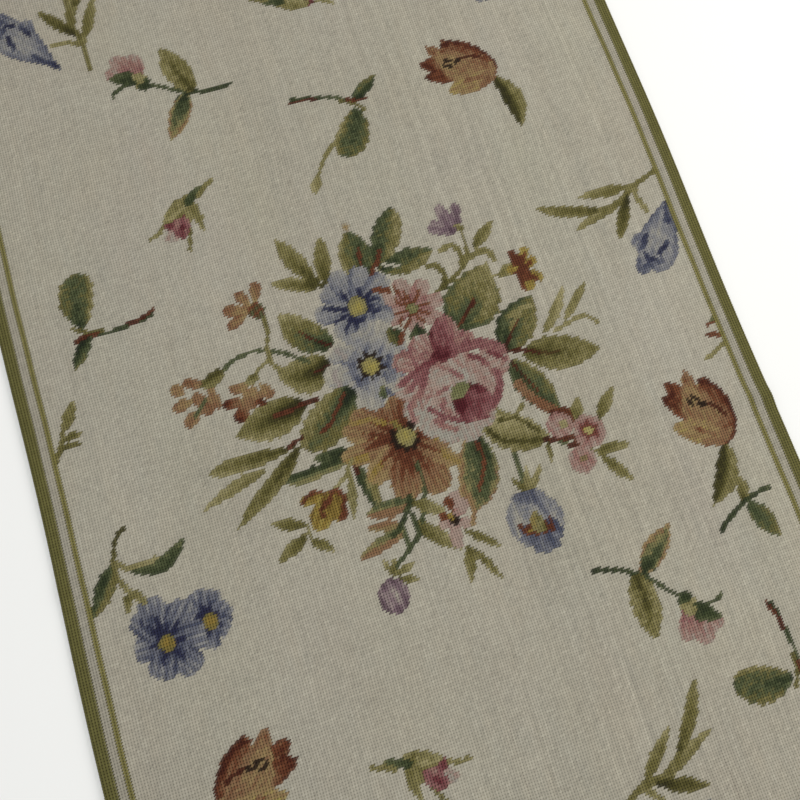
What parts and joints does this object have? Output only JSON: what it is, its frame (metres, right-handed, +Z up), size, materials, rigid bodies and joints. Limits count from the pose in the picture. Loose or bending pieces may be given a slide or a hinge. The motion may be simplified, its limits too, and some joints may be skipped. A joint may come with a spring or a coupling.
{
  "type": "needlepoint rug",
  "caption": "Flat rectangular wool floor rug worked in needlepoint, with an ivory ground, a flower bouquet in the middle, scattered sprigs and a narrow olive border.",
  "frame": {"origin": "on the floor, under the middle of the rug", "axes": "+Y along the rug's length, towards the bouquet's upper end; +X across its width; +Z up, out of the stitched face"},
  "size_m": [0.9042, 1.518, 0.0072],
  "materials": {
    "wool": "matt stitched wool yarn"
  },
  "bodies": {
    "root": {"rug": "wool"}
  },
  "joints": []
}
